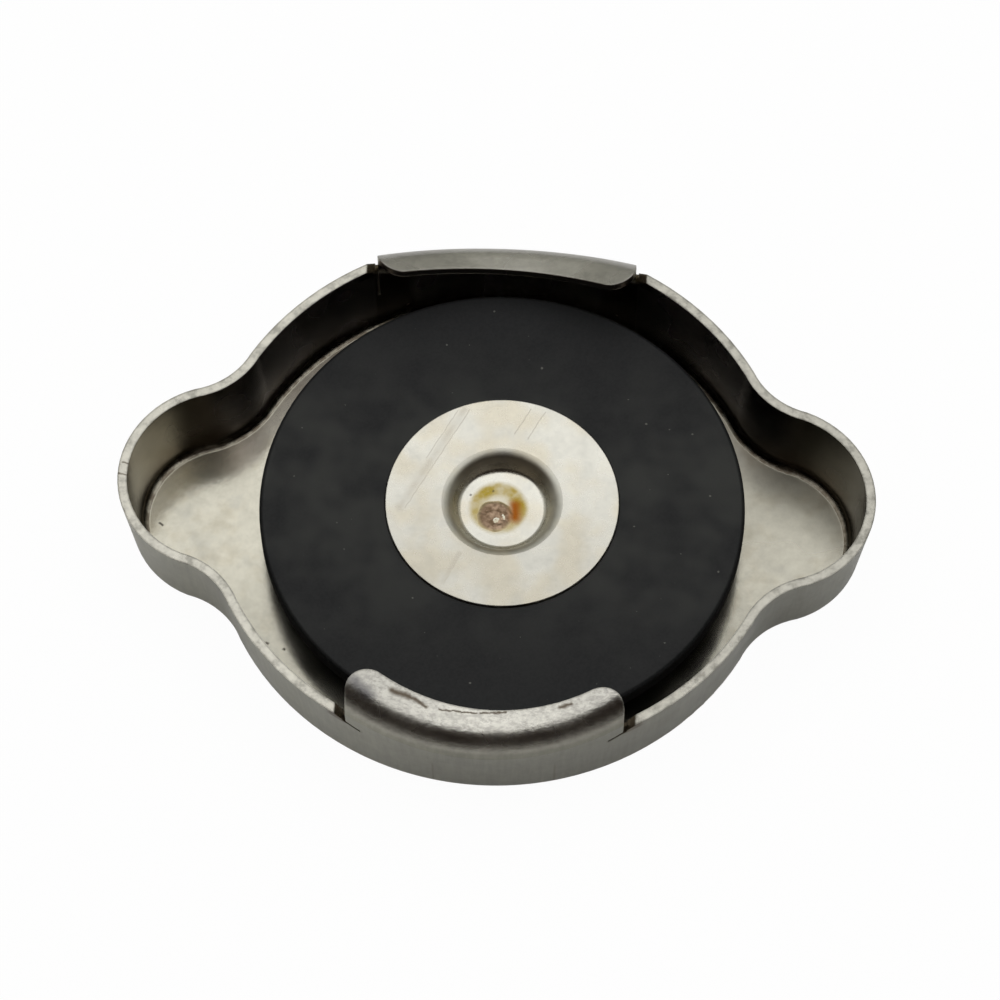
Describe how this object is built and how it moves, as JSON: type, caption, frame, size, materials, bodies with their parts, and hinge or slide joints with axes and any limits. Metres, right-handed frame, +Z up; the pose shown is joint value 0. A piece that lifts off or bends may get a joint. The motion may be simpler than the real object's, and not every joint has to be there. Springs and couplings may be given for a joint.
{
  "type": "radiator cap",
  "caption": "Pressed steel radiator cap lying inside up: an eared dish with bent bayonet tabs, a flat rubber sealing gasket and a dished metal disc that holds the gasket down.",
  "frame": {"origin": "under the middle of the cap, on the plane of the outer face that it lies on", "axes": "+X along the grip ears, +Y towards the back tab, +Z up out of the open side"},
  "size_m": [0.08, 0.0617, 0.0151],
  "materials": {
    "shell_steel": "satin plated sheet steel, worn",
    "gasket_rubber": "matte black rubber",
    "retainer_steel": "satin sheet steel, scratched"
  },
  "bodies": {
    "root": {"cap_shell": "shell_steel", "sealing_gasket": "gasket_rubber", "retainer_disc": "retainer_steel"}
  },
  "joints": []
}
